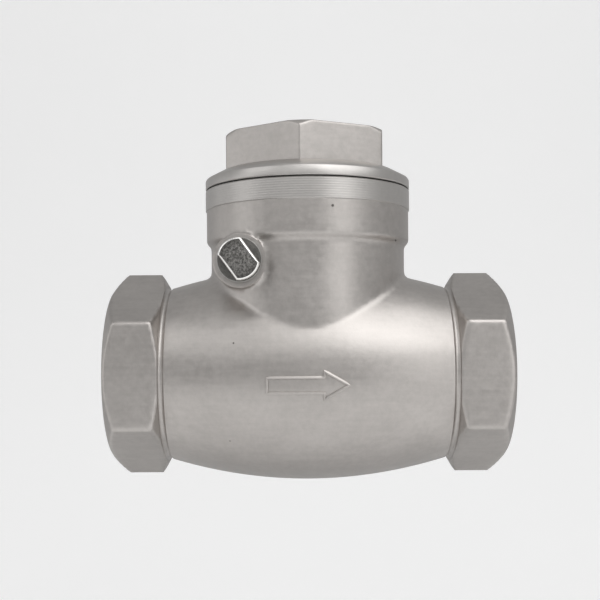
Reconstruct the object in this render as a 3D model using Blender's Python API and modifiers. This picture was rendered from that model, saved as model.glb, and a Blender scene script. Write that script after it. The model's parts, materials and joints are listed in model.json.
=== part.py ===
"""Threaded swing check valve, nominal 1 1/2 inch, 200 lb class, in metres.

+X is the flow direction, +Z points to the bonnet cap, and the origin is where the pipe axis meets the
bonnet axis, midway between the two end faces. The hinge pin lies along Y, high on the inlet side.
"""

import math

import bmesh
import bpy
from mathutils import Matrix, Vector

# ---------------------------------------------------------------- driving dimensions
FACE_TO_FACE = 0.120
HALF = FACE_TO_FACE / 2
WALL = 0.0032
GAP = 0.0003

# Hexagonal ends
HEX_FLATS = 0.054
HEX_INNER_X = 0.0434
HEX_ROOT_RADIUS = 0.0266
HEX_FACE_RADIUS = 0.0260
INNER_CHAMFER_SLOPE = 2.0
OUTER_CHAMFER_SLOPE = 1.5

# Barrel: its radius falls off with the square of the distance from the middle
BARREL_RADIUS = 0.0331
BARREL_ARC = 0.140
BARREL_HALF = 0.046

# Bore, sockets and seat
SOCKET_RADIUS = 0.0224
SOCKET_INNER_X = 0.041
MOUTH_CHAMFER = 0.0014
PORT_RADIUS = 0.0185
THROAT_RADIUS = 0.0193
SEAT_X = -0.015
SEAT_RADIUS = 0.023
SEAT_POCKET_X = -0.028
CHAMBER_END_X = 0.034

# Neck, collar and machined band
NECK_RADIUS = 0.0302
NECK_TOP_Z = 0.0392
COLLAR_RADIUS = 0.0316
COLLAR_CHAMFER = 0.0012
BAND_RADIUS = 0.0319
BAND_BOTTOM_Z = 0.0504
BAND_TOP_Z = 0.0566
NECK_BORE_RADIUS = 0.0270
NECK_FLOOR_Z = 0.0245
CLAPPER_ROOM_RADIUS = 0.0266
LEDGE_X = -0.010
CAP_THREAD_RADIUS = 0.0253
CAP_THREAD_Z = 0.0460

# Hinge pin, lugs and side plugs
PIN_X = -0.0197
PIN_Z = 0.0332
PIN_RADIUS = 0.0030
PIN_BORE_RADIUS = 0.0033
PIN_HALF = 0.0222
LUG_RADIUS = 0.0065
LUG_INNER_Y = 0.0076
LUG_OUTER_Y = 0.0240
BOSS_RADIUS = 0.0076
BOSS_FACE_Y = 0.0279
PLUG_BORE_RADIUS = 0.0050
PLUG_SHANK_RADIUS = 0.0047
PLUG_GASKET_RADIUS = 0.0060
PLUG_GASKET_THICKNESS = 0.0006
PLUG_COLLAR_RADIUS = 0.0064
PLUG_COLLAR_THICKNESS = 0.0015
PLUG_HEAD_RADIUS = 0.0061
PLUG_HEAD_FLATS = 0.0081
PLUG_HEAD_LENGTH = 0.0034
PLUG_FLATS_TURN = math.radians(-36)

# Bonnet gasket and cap
GASKET_RADIUS = 0.0310
GASKET_THICKNESS = 0.0006
CAP_RIM_TOP_Z = 0.0598
CAP_CONE_TOP_Z = 0.0624
CAP_CONE_RADIUS = 0.0275
CAP_SPIGOT_RADIUS = CAP_THREAD_RADIUS - GAP
CAP_SPIGOT_Z = 0.0466
CAP_HEX_CORNER = 0.0273
CAP_HEX_TURN = math.radians(-4.9)
CAP_TOP_Z = 0.0741
CAP_TOP_RADIUS = 0.0252
CAP_CHAMFER = math.radians(40)
CAP_HOLLOW_RADIUS = 0.0208
CAP_HOLLOW_TOP_Z = 0.0665

# Clapper: the disc, its soft facing and their fasteners, along X at rest
FACING_RADIUS = 0.0198
FACING_INNER_RADIUS = 0.0120
FACING_FRONT_X = SEAT_X + GAP
FACING_THICKNESS = 0.0022
DISC_RADIUS = 0.0210
DISC_RIM_X = -0.0139
DISC_BACK_X = -0.0095
DISC_BACK_RADIUS = 0.0155
DISC_BOSS_RADIUS = 0.0075
STUD_RADIUS = 0.0040
STUD_END_X = 0.0053
SCREW_HOLE_RADIUS = 0.0023
SCREW_RADIUS = 0.0020
SCREW_END_X = -0.0045
SCREW_HEAD_FLATS = 0.0080
SCREW_HEAD_LENGTH = 0.0028
RETAINER_RADIUS = 0.0160
RETAINER_THICKNESS = 0.0014

# Hinge arm
ARM_HUB_RADIUS = 0.0050
ARM_HUB_HALF = 0.0070
ARM_HALF_WIDTH = 0.0046
ARM_EYE_RADIUS = 0.0085
ARM_EYE_LOW_X = -0.0084
ARM_EYE_HIGH_X = -0.0040
ARM_EYE_PROUD = 0.0004
STUD_HOLE_RADIUS = STUD_RADIUS + GAP

# Washer, nut and split pin on the stud
WASHER_RADIUS = 0.0072
WASHER_THICKNESS = 0.0010
NUT_FLATS = 0.0110
NUT_THICKNESS = 0.0043
SPLIT_PIN_X = 0.0036
SPLIT_PIN_RADIUS = 0.0007
SPLIT_PIN_HOLE = 0.0010
SPLIT_PIN_REACH = 0.0062
SPLIT_PIN_EYE = 0.0010

# Raised flow arrow on the front of the barrel
ARROW_TAIL_X = -0.0125
ARROW_HEAD_X = 0.0038
ARROW_TIP_X = 0.0121
ARROW_SHAFT_HALF = 0.0023
ARROW_HEAD_HALF = 0.0040
ARROW_Z = -0.0025
ARROW_RIDGE = 0.0008
ARROW_RAISE = 0.0005

FINE, MEDIUM, COARSE = 64, 40, 22  # sides of a turned shape
OVERRUN = 0.002  # how far a cutter runs past a face, or a shape runs into its neighbour
CUTTER_START = math.radians(2)  # keeps the corners of crossing round shapes off each other
TURN_TO_X = Matrix.Rotation(math.radians(90), 4, "Y")
TURN_TO_Y = Matrix.Rotation(math.radians(-90), 4, "X")
AXES = {"X": TURN_TO_X, "Y": TURN_TO_Y, "Z": Matrix.Identity(4)}

STEEL = (0.55, 0.54, 0.52)
BRIGHT_STEEL = (0.66, 0.65, 0.63)
DARK_STEEL = (0.20, 0.20, 0.19)
PTFE = (0.85, 0.85, 0.82)
FIBRE = (0.10, 0.10, 0.10)


# ---------------------------------------------------------------- scene helpers
def clear_scene():
    for obj in list(bpy.data.objects):
        bpy.data.objects.remove(obj, do_unlink=True)


def new_collection(name):
    collection = bpy.data.collections.new(name)
    bpy.context.scene.collection.children.link(collection)
    return collection


clear_scene()
PARTS = new_collection("check_valve")
CUTTERS = new_collection("check_valve_cutters")


def place(obj, axis="Z", at=(0, 0, 0)):
    """Lays the object's own +Z along a world axis, with its origin at a point."""
    obj.matrix_world = Matrix.Translation(at) @ AXES[axis]
    return obj


def linked(name, data, axis="Z", at=(0, 0, 0)):
    obj = bpy.data.objects.new(name, data)
    PARTS.objects.link(obj)
    return place(obj, axis, at)


def hide_as_tool(obj):
    """A tool shapes another object and is no piece of the valve."""
    for collection in list(obj.users_collection):
        collection.objects.unlink(obj)
    CUTTERS.objects.link(obj)
    obj.hide_render = True
    obj.display_type = "WIRE"


def combine(part, operation, tools):
    for tool in tools:
        modifier = part.modifiers.new(f"{operation.lower()} {tool.name}", "BOOLEAN")
        modifier.operation = operation
        modifier.solver = "EXACT"
        modifier.object = tool
        hide_as_tool(tool)
    return part


def join(part, *tools):
    return combine(part, "UNION", tools)


def cut(part, *tools):
    return combine(part, "DIFFERENCE", tools)


def keep_common(part, tool):
    return combine(part, "INTERSECT", (tool,))


def turned(name, profile, sides=MEDIUM, axis="Z", at=(0, 0, 0), ring=False, start=0.0):
    """A solid of revolution. The profile's (radius, height) points run down its outer side."""
    mesh = bpy.data.meshes.new(name)
    points = [(radius, 0, height) for radius, height in profile]
    edges = [(i, i + 1) for i in range(len(points) - 1)]
    if ring:
        edges.append((len(points) - 1, 0))
    mesh.from_pydata(points, edges, [])
    obj = linked(name, mesh, axis, at)
    obj.matrix_world = obj.matrix_world @ Matrix.Rotation(start, 4, "Z")
    screw = obj.modifiers.new("turn", "SCREW")
    screw.axis = "Z"
    screw.steps = screw.render_steps = sides
    screw.use_merge_vertices = True
    screw.merge_threshold = 1e-5
    return obj


def drum(name, radius, low, high, sides=MEDIUM, axis="Z", at=(0, 0, 0)):
    profile = [(0, high), (radius, high), (radius, low), (0, low)]
    return turned(name, profile, sides, axis, at)


def tube(name, inner, outer, low, high, sides=MEDIUM, axis="Z", at=(0, 0, 0)):
    profile = [(inner, high), (outer, high), (outer, low), (inner, low)]
    return turned(name, profile, sides, axis, at, ring=True)


def prism(name, corner_radius, low, high, sides=6, turn=0.0, axis="Z", at=(0, 0, 0)):
    """A regular prism with a corner on its own +X, turned by an angle about its axis."""
    mesh = bpy.data.meshes.new(name)
    shape = bmesh.new()
    bmesh.ops.create_cone(shape, cap_ends=True, segments=sides, radius1=corner_radius,
                          radius2=corner_radius, depth=high - low)
    # A cone primitive's first corner is on its own +Y
    bmesh.ops.rotate(shape, verts=shape.verts, matrix=Matrix.Rotation(turn - math.pi / 2, 3, "Z"))
    bmesh.ops.translate(shape, verts=shape.verts, vec=(0, 0, (low + high) / 2))
    shape.to_mesh(mesh)
    shape.free()
    return linked(name, mesh, axis, at)


def block(name, low, high):
    mesh = bpy.data.meshes.new(name)
    shape = bmesh.new()
    bmesh.ops.create_cube(shape, size=1)
    size = Vector(high) - Vector(low)
    bmesh.ops.scale(shape, verts=shape.verts, vec=size)
    bmesh.ops.translate(shape, verts=shape.verts, vec=(Vector(low) + Vector(high)) / 2)
    shape.to_mesh(mesh)
    shape.free()
    return linked(name, mesh)


def meshed(obj):
    """A mesh object in the place of a curve or of an object with modifiers."""
    bpy.context.view_layer.update()
    evaluated = obj.evaluated_get(bpy.context.evaluated_depsgraph_get())
    mesh = bpy.data.meshes.new_from_object(evaluated)
    shape = bmesh.new()
    shape.from_mesh(mesh)
    bmesh.ops.remove_doubles(shape, verts=shape.verts, dist=1e-6)
    bmesh.ops.recalc_face_normals(shape, faces=shape.faces)
    shape.to_mesh(mesh)
    shape.free()
    name, matrix = obj.name, obj.matrix_world.copy()
    bpy.data.objects.remove(obj, do_unlink=True)
    result = linked(name, mesh)
    result.matrix_world = matrix
    return result


def plate(name, outlines, thickness, at_y=0.0):
    """Closed outlines of (x, z) points, filled and given a thickness along Y about a plane."""
    curve = bpy.data.curves.new(name, "CURVE")
    curve.dimensions = "2D"
    curve.fill_mode = "BOTH"
    curve.extrude = thickness / 2
    for outline in outlines:
        spline = curve.splines.new("POLY")
        spline.points.add(len(outline) - 1)
        for point, (x, z) in zip(spline.points, outline):
            point.co = (x, z, 0, 1)
        spline.use_cyclic_u = True
    obj = linked(name, curve)
    obj.matrix_world = Matrix.Translation((0, at_y, 0)) @ Matrix.Rotation(math.pi / 2, 4, "X")
    return meshed(obj)


def rounded(corners, steps=5):
    """An outline through (x, z, radius) corners, each made an arc of its radius."""
    outline = []
    for i, (x, z, radius) in enumerate(corners):
        corner = Vector((x, z))
        before = (Vector(corners[i - 1][:2]) - corner).normalized()
        after = (Vector(corners[(i + 1) % len(corners)][:2]) - corner).normalized()
        if radius == 0:
            outline.append(tuple(corner))
            continue
        half = before.angle(after) / 2
        middle = corner + (before + after).normalized() * (radius / math.sin(half))
        start = corner + before * (radius / math.tan(half)) - middle
        end = corner + after * (radius / math.tan(half)) - middle
        for step in range(steps + 1):
            spoke = start.lerp(end, step / steps).normalized() * radius
            outline.append(tuple(middle + spoke))
    return outline


# ---------------------------------------------------------------- finish and hierarchy
def material(name, colour, roughness, metallic):
    made = bpy.data.materials.new(name)
    made.use_nodes = True
    shader = made.node_tree.nodes["Principled BSDF"]
    shader.inputs["Base Color"].default_value = (*colour, 1)
    shader.inputs["Roughness"].default_value = roughness
    shader.inputs["Metallic"].default_value = metallic
    made.diffuse_color = (*colour, 1)
    return made


def finish(part, colour=STEEL, roughness=0.4, metallic=1.0, sharp=32):
    """Applies the part's modifiers, shades its round faces smooth and gives it its own material."""
    bpy.context.view_layer.update()
    evaluated = part.evaluated_get(bpy.context.evaluated_depsgraph_get())
    mesh = bpy.data.meshes.new_from_object(evaluated)
    part.modifiers.clear()
    part.data = mesh
    mesh.name = part.name
    mesh.shade_smooth()
    mesh.set_sharp_from_angle(angle=math.radians(sharp))
    mesh.materials.clear()
    mesh.materials.append(material(part.name, colour, roughness, metallic))
    return part


def pivot(name, at, parent=None):
    empty = bpy.data.objects.new(name, None)
    empty.empty_display_size = 0.01
    PARTS.objects.link(empty)
    empty.location = at
    if parent:
        hang(empty, parent)
    return empty


def hang(child, parent):
    """Parents an object and leaves it where it is."""
    bpy.context.view_layer.update()
    child.parent = parent
    child.matrix_parent_inverse = parent.matrix_world.inverted()
    return child


# ---------------------------------------------------------------- valve body
def barrel_profile(offset=0.0, low=-BARREL_HALF, high=BARREL_HALF, steps=11):
    """The barrel's (radius, x) points from its +X end to its -X end, moved outwards by an offset."""
    points = []
    for i in range(steps + 1):
        x = high + (low - high) * i / steps
        points.append((BARREL_RADIUS - x * x / (2 * BARREL_ARC) + offset, x))
    return points


def barrel(name, offset=0.0):
    profile = [(0, BARREL_HALF)] + barrel_profile(offset) + [(0, -BARREL_HALF)]
    return turned(name, profile, FINE, "X")


def hex_end(name, side):
    """One hexagonal end, with corners at top and bottom and both rims turned to a chamfer."""
    corner = HEX_FLATS / 2 / math.cos(math.pi / 6)
    clear = corner + 0.0008
    inner_run = (clear - HEX_ROOT_RADIUS) / INNER_CHAMFER_SLOPE
    buried = HEX_ROOT_RADIUS - 0.0022
    buried_x = HEX_INNER_X - (HEX_ROOT_RADIUS - buried) / INNER_CHAMFER_SLOPE
    outer_run = (clear - HEX_FACE_RADIUS) / OUTER_CHAMFER_SLOPE
    profile = [(0, HALF), (HEX_FACE_RADIUS, HALF), (clear, HALF - outer_run),
               (clear, HEX_INNER_X + inner_run), (buried, buried_x), (0, buried_x)]
    if side < 0:
        profile = [(radius, -x) for radius, x in reversed(profile)]
    end = turned(name, profile, FINE, "X", start=CUTTER_START / 2)
    low, high = sorted((side * (HEX_INNER_X - 2 * OVERRUN), side * (HALF + OVERRUN)))
    return keep_common(end, prism(f"{name}_flats", corner, low, high, axis="X"))


def neck():
    top = COLLAR_RADIUS - 0.0004
    profile = [(0, BAND_TOP_Z), (BAND_RADIUS - 0.0003, BAND_TOP_Z),
               (BAND_RADIUS, BAND_TOP_Z - 0.0003), (BAND_RADIUS, BAND_BOTTOM_Z),
               (COLLAR_RADIUS, BAND_BOTTOM_Z - 0.0003),
               (COLLAR_RADIUS, NECK_TOP_Z + COLLAR_CHAMFER), (top, NECK_TOP_Z + 0.0007),
               (NECK_RADIUS, NECK_TOP_Z), (NECK_RADIUS, 0), (0, 0)]
    return turned("neck_outside", profile, FINE)


def flow_bores():
    """Cutters for the chamber, for the inlet with its seat port, and for the outlet."""
    outlet_end = HALF + 2 * OVERRUN
    mouth = [(SOCKET_RADIUS + MOUTH_CHAMFER + 0.0004, HALF + 0.0004),
             (SOCKET_RADIUS, HALF - MOUTH_CHAMFER)]
    chamber = [(0, SOCKET_INNER_X + 0.0005), (THROAT_RADIUS, SOCKET_INNER_X + 0.0005),
               (THROAT_RADIUS, SOCKET_INNER_X - 0.0005)]
    chamber += barrel_profile(-WALL, SEAT_POCKET_X, CHAMBER_END_X, 8)
    chamber += [(SEAT_RADIUS, SEAT_POCKET_X), (SEAT_RADIUS, SEAT_X), (0, SEAT_X)]
    outlet = [(0, outlet_end), (mouth[0][0], outlet_end), *mouth,
              (SOCKET_RADIUS, SOCKET_INNER_X), (0, SOCKET_INNER_X)]
    inlet = [(0, SEAT_X + OVERRUN / 2), (PORT_RADIUS, SEAT_X + OVERRUN / 2), (PORT_RADIUS, -SOCKET_INNER_X)]
    inlet += [(radius, -x) for radius, x in reversed(outlet[1:-1])] + [(0, -outlet_end)]
    return (turned("chamber_cutter", chamber, MEDIUM, "X", start=CUTTER_START),
            turned("outlet_cutter", outlet, MEDIUM, "X", start=CUTTER_START),
            turned("inlet_cutter", inlet, MEDIUM, "X", start=CUTTER_START))


def neck_bores():
    """Cutters for the neck: the cap's thread bore with the wide space below, and the clapper's room."""
    upper = [(0, BAND_TOP_Z + OVERRUN), (CAP_THREAD_RADIUS, BAND_TOP_Z + OVERRUN),
             (CAP_THREAD_RADIUS, CAP_THREAD_Z), (NECK_BORE_RADIUS, CAP_THREAD_Z - 0.0008),
             (NECK_BORE_RADIUS, NECK_FLOOR_Z), (0, NECK_FLOOR_Z)]
    lower = drum("clapper_room_cutter", CLAPPER_ROOM_RADIUS, 0, NECK_FLOOR_Z + OVERRUN, MEDIUM)
    reach = NECK_BORE_RADIUS + OVERRUN
    keep_common(lower, block("clapper_room_half", (LEDGE_X, -reach, -OVERRUN),
                             (reach, reach, NECK_FLOOR_Z + 2 * OVERRUN)))
    return turned("neck_cutter", upper, MEDIUM, start=CUTTER_START), lower


def arrow_outline(inset):
    """The flow arrow's outline, drawn in by an inset all round."""
    slope = ARROW_HEAD_HALF / (ARROW_TIP_X - ARROW_HEAD_X)
    tip = ARROW_TIP_X - inset / math.sin(math.atan(slope))
    base, shaft = ARROW_HEAD_X + inset, ARROW_SHAFT_HALF - inset
    wing = (tip - base) * slope
    upper = [(ARROW_TAIL_X + inset, shaft), (base, shaft), (base, wing)]
    points = upper + [(tip, 0)] + [(x, -z) for x, z in reversed(upper)]
    return [(x, ARROW_Z + z) for x, z in points]


def arrow():
    """A ridge along the arrow's outline that follows the barrel's round front."""
    outer = BARREL_RADIUS + OVERRUN
    inner = BARREL_RADIUS - OVERRUN
    ridge = plate("flow_arrow", (arrow_outline(0), arrow_outline(ARROW_RIDGE)), outer - inner,
                  -(outer + inner) / 2)
    return keep_common(ridge, barrel("flow_arrow_skin", ARROW_RAISE))


def make_valve_body():
    at_pin = (PIN_X, 0, PIN_Z)
    body = barrel("valve_body")
    join(body, hex_end("inlet_hex", -1), hex_end("outlet_hex", 1), neck(),
         drum("front_boss", BOSS_RADIUS, -BOSS_FACE_Y, -0.012, MEDIUM, "Y", at_pin),
         drum("rear_boss", BOSS_RADIUS, 0.012, BOSS_FACE_Y, MEDIUM, "Y", at_pin), arrow())
    cut(body, *flow_bores(), *neck_bores())
    join(body, drum("front_lug", LUG_RADIUS, -LUG_OUTER_Y, -LUG_INNER_Y, MEDIUM, "Y", at_pin),
         drum("rear_lug", LUG_RADIUS, LUG_INNER_Y, LUG_OUTER_Y, MEDIUM, "Y", at_pin))
    end, start = BOSS_FACE_Y + 2 * OVERRUN, PIN_HALF + GAP
    pin_bore = [(0, end), (PLUG_BORE_RADIUS, end), (PLUG_BORE_RADIUS, start),
                (PIN_BORE_RADIUS, start)]
    pin_bore += [(radius, -y) for radius, y in reversed(pin_bore)]
    cut(body, turned("pin_bore_cutter", pin_bore, COARSE, "Y", at_pin))
    return finish(body)


# ---------------------------------------------------------------- bonnet
def make_bonnet_gasket():
    low = BAND_TOP_Z + GAP
    return finish(tube("bonnet_gasket", CAP_SPIGOT_RADIUS + GAP, GASKET_RADIUS, low,
                       low + GASKET_THICKNESS, MEDIUM), FIBRE, 0.8, 0.0)


def make_bonnet_cap():
    """The cap: a hollow threaded spigot, a sloped flange and a hexagon with a turned top."""
    seat_z = BAND_TOP_Z + GASKET_THICKNESS + 2 * GAP + 0.0003
    base = [(0, CAP_CONE_TOP_Z), (CAP_CONE_RADIUS, CAP_CONE_TOP_Z), (BAND_RADIUS, CAP_RIM_TOP_Z),
            (BAND_RADIUS, seat_z), (CAP_SPIGOT_RADIUS, seat_z), (CAP_SPIGOT_RADIUS, CAP_SPIGOT_Z),
            (0, CAP_SPIGOT_Z)]
    cap = turned("bonnet_cap", base, FINE)
    clear = CAP_HEX_CORNER + 0.0012
    top = [(0, CAP_TOP_Z), (CAP_TOP_RADIUS, CAP_TOP_Z),
           (clear, CAP_TOP_Z - (clear - CAP_TOP_RADIUS) * math.tan(CAP_CHAMFER)),
           (clear, CAP_RIM_TOP_Z), (0, CAP_RIM_TOP_Z)]
    hexagon = turned("cap_hexagon", top, FINE)
    flats = prism("cap_flats", CAP_HEX_CORNER, CAP_RIM_TOP_Z - OVERRUN, CAP_TOP_Z + OVERRUN,
                  turn=CAP_HEX_TURN - math.pi / 2)
    join(cap, keep_common(hexagon, flats))
    hollow = [(0, CAP_HOLLOW_TOP_Z), (0.014, CAP_HOLLOW_TOP_Z), (0.0185, CAP_HOLLOW_TOP_Z - 0.002),
              (CAP_HOLLOW_RADIUS, CAP_HOLLOW_TOP_Z - 0.0065),
              (CAP_HOLLOW_RADIUS, CAP_SPIGOT_Z - OVERRUN), (0, CAP_SPIGOT_Z - OVERRUN)]
    cut(cap, turned("cap_hollow_cutter", hollow, MEDIUM))
    return finish(cap)


# ---------------------------------------------------------------- hinge pin and side plugs
def make_hinge_pin():
    chamfer = 0.0004
    profile = [(0, PIN_HALF), (PIN_RADIUS - chamfer, PIN_HALF), (PIN_RADIUS, PIN_HALF - chamfer)]
    profile += [(radius, -y) for radius, y in reversed(profile)]
    return finish(turned("hinge_pin", profile, COARSE, "Y", (PIN_X, 0, PIN_Z)), BRIGHT_STEEL, 0.25)


def make_side_plug(name, side):
    """A threaded plug with a round collar and a head that is milled to two flats."""
    at_pin = (PIN_X, 0, PIN_Z)
    start = PIN_HALF + 2 * GAP
    collar = BOSS_FACE_Y + 2 * GAP + PLUG_GASKET_THICKNESS
    head = collar + PLUG_COLLAR_THICKNESS
    end = head + PLUG_HEAD_LENGTH
    profile = [(0, end), (PLUG_HEAD_RADIUS - 0.0004, end), (PLUG_HEAD_RADIUS, end - 0.0004),
               (PLUG_HEAD_RADIUS, head), (PLUG_COLLAR_RADIUS, head - 0.0003),
               (PLUG_COLLAR_RADIUS, collar), (PLUG_SHANK_RADIUS, collar),
               (PLUG_SHANK_RADIUS, start), (0, start)]
    if side < 0:
        profile = [(radius, -y) for radius, y in reversed(profile)]
    plug = turned(name, profile, MEDIUM, "Y", at_pin)
    low, high = sorted((side * head, side * (end + OVERRUN)))
    reach = PLUG_HEAD_RADIUS + OVERRUN
    for edge, turn in ((1, PLUG_FLATS_TURN), (2, PLUG_FLATS_TURN + math.pi)):
        flat = block(f"{name}_flat_{edge}", (PLUG_HEAD_FLATS / 2, -reach, low), (reach, reach, high))
        flat.matrix_world = Matrix.Translation(at_pin) @ TURN_TO_Y @ Matrix.Rotation(turn, 4, "Z")
        cut(plug, flat)
    return finish(plug, DARK_STEEL, 0.6)


def make_plug_gasket(name, side):
    low, high = sorted((side * (BOSS_FACE_Y + GAP), side * (BOSS_FACE_Y + GAP + PLUG_GASKET_THICKNESS)))
    ring = tube(name, PLUG_SHANK_RADIUS + GAP, PLUG_GASKET_RADIUS, low, high, COARSE, "Y",
                (PIN_X, 0, PIN_Z))
    return finish(ring, PTFE, 0.5, 0.0)


# ---------------------------------------------------------------- clapper
def make_clapper_disc():
    """The disc holder: a rim round the facing, a cone at the back, a boss and the stud."""
    floor = FACING_FRONT_X + FACING_THICKNESS + GAP
    boss_x = ARM_EYE_LOW_X - GAP
    chamfer = 0.0006
    profile = [(0, STUD_END_X), (STUD_RADIUS - chamfer, STUD_END_X), (STUD_RADIUS, STUD_END_X - chamfer),
               (STUD_RADIUS, boss_x), (DISC_BOSS_RADIUS, boss_x), (DISC_BOSS_RADIUS, DISC_BACK_X),
               (DISC_BACK_RADIUS, DISC_BACK_X), (DISC_RADIUS, floor + 0.0002), (DISC_RADIUS, DISC_RIM_X),
               (FACING_RADIUS + GAP, DISC_RIM_X), (FACING_RADIUS + GAP, floor),
               (SCREW_HOLE_RADIUS, floor), (SCREW_HOLE_RADIUS, SCREW_END_X + 0.001),
               (0, SCREW_END_X + 0.001)]
    disc = turned("clapper_disc", profile, MEDIUM, "X")
    reach = STUD_RADIUS + OVERRUN
    cut(disc, drum("split_pin_hole_cutter", SPLIT_PIN_HOLE, -reach, reach, 12, "Y",
                   (SPLIT_PIN_X, 0, 0)))
    return finish(disc, BRIGHT_STEEL, 0.3)


def make_facing():
    ring = tube("facing_ring", FACING_INNER_RADIUS, FACING_RADIUS, FACING_FRONT_X,
                FACING_FRONT_X + FACING_THICKNESS, MEDIUM, "X")
    return finish(ring, PTFE, 0.5, 0.0)


def retainer_front():
    return FACING_FRONT_X - GAP - RETAINER_THICKNESS


def make_facing_retainer():
    """A plate in front of the facing, with a hub that reaches through it to the disc."""
    back = FACING_FRONT_X + FACING_THICKNESS
    plate_back = FACING_FRONT_X - GAP
    hub = FACING_INNER_RADIUS - GAP
    hole = SCREW_HOLE_RADIUS
    front = retainer_front()
    profile = [(hole, back), (hub, back), (hub, plate_back), (RETAINER_RADIUS, plate_back),
               (RETAINER_RADIUS, front + 0.0006), (RETAINER_RADIUS - 0.0006, front), (hole, front)]
    return finish(turned("facing_retainer", profile, MEDIUM, "X", ring=True), BRIGHT_STEEL, 0.3)


def make_retainer_screw():
    head_back = retainer_front() - GAP
    head_front = head_back - SCREW_HEAD_LENGTH
    screw = drum("retainer_screw", SCREW_RADIUS, head_back - 0.001, SCREW_END_X, COARSE, "X")
    corner = SCREW_HEAD_FLATS / 2 / math.cos(math.pi / 6)
    join(screw, prism("screw_head", corner, head_front, head_back, axis="X"))
    return finish(screw, BRIGHT_STEEL, 0.3)


def make_hinge_arm():
    """The hanger: a hub on the pin, a curved strap over the seat and an eye for the stud."""
    low, high = ARM_EYE_LOW_X + ARM_EYE_PROUD, ARM_EYE_HIGH_X - ARM_EYE_PROUD
    strap = rounded([(PIN_X, PIN_Z - 0.0042, 0), (-0.0130, 0.0272, 0.003), (low, 0.0225, 0.004),
                     (low, 0, 0), (high, 0, 0), (high, 0.0260, 0.006), (-0.0100, 0.0345, 0.006),
                     (PIN_X, PIN_Z + 0.0042, 0)])
    arm = plate("hinge_arm", (strap,), 2 * ARM_HALF_WIDTH)
    join(arm, drum("arm_hub", ARM_HUB_RADIUS, -ARM_HUB_HALF, ARM_HUB_HALF, MEDIUM, "Y",
                   (PIN_X, 0, PIN_Z)),
         drum("arm_eye", ARM_EYE_RADIUS, ARM_EYE_LOW_X, ARM_EYE_HIGH_X, MEDIUM, "X"))
    reach = ARM_HUB_HALF + OVERRUN
    cut(arm, drum("arm_pin_cutter", PIN_BORE_RADIUS, -reach, reach, COARSE, "Y", (PIN_X, 0, PIN_Z)),
        drum("arm_stud_cutter", STUD_HOLE_RADIUS, ARM_EYE_LOW_X - OVERRUN, ARM_EYE_HIGH_X + OVERRUN,
             COARSE, "X"))
    return finish(arm)


def washer_back():
    return ARM_EYE_HIGH_X + GAP + WASHER_THICKNESS


def make_stud_washer():
    ring = tube("stud_washer", STUD_HOLE_RADIUS, WASHER_RADIUS, ARM_EYE_HIGH_X + GAP, washer_back(),
                COARSE, "X")
    return finish(ring, BRIGHT_STEEL, 0.3)


def make_stud_nut():
    low = washer_back() + GAP
    high = low + NUT_THICKNESS
    corner = NUT_FLATS / 2 / math.cos(math.pi / 6)
    chamfer = 0.0009
    profile = [(STUD_HOLE_RADIUS, high), (corner - chamfer, high), (corner + 0.0003, high - chamfer),
               (corner + 0.0003, low), (STUD_HOLE_RADIUS, low)]
    nut = turned("stud_nut", profile, COARSE, "X", ring=True)
    keep_common(nut, prism("nut_flats", corner, low - 0.001, high + 0.001, axis="X"))
    return finish(nut, BRIGHT_STEEL, 0.3)


def make_split_pin():
    """A split pin through the stud: an eye at the front end and a bent tail at the rear."""
    eye = SPLIT_PIN_EYE
    path = [(0.0016, SPLIT_PIN_REACH - 0.0002), (0.0006, SPLIT_PIN_REACH),
            (0, SPLIT_PIN_REACH - 0.0008), (0, 0), (0, -SPLIT_PIN_REACH + 2 * eye)]
    for i in range(1, 8):
        angle = math.radians(90 + 38 * i)
        path.append((eye * math.cos(angle), -SPLIT_PIN_REACH + eye + eye * math.sin(angle)))
    curve = bpy.data.curves.new("split_pin", "CURVE")
    curve.dimensions = "3D"
    curve.bevel_depth = SPLIT_PIN_RADIUS
    curve.bevel_resolution = 1
    curve.use_fill_caps = True
    spline = curve.splines.new("POLY")
    spline.points.add(len(path) - 1)
    for point, (z, y) in zip(spline.points, path):
        point.co = (SPLIT_PIN_X, y, z, 1)
    return finish(meshed(linked("split_pin", curve)), BRIGHT_STEEL, 0.3)


# ---------------------------------------------------------------- assembly
def main():
    make_valve_body()
    make_bonnet_gasket()
    make_bonnet_cap()
    for name, side in (("front", -1), ("rear", 1)):
        make_side_plug(f"side_plug_{name}", side)
        make_plug_gasket(f"plug_gasket_{name}", side)
    pin_axis = pivot("pin_axis", (PIN_X, 0, PIN_Z))
    stud_axis = pivot("stud_axis", (ARM_EYE_LOW_X, 0, 0), pin_axis)
    hang(make_hinge_pin(), pin_axis)
    hang(make_hinge_arm(), pin_axis)
    for piece in (make_clapper_disc(), make_facing(), make_facing_retainer(), make_retainer_screw(),
                  make_stud_washer(), make_stud_nut(), make_split_pin()):
        hang(piece, stud_axis)


main()
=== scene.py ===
"""Looks of the threaded swing check valve: a cast stainless body with machined ends, a screwed cap, side
plugs and a clapper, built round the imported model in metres. +X is the flow, +Z points to the cap."""

import json
import math

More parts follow.
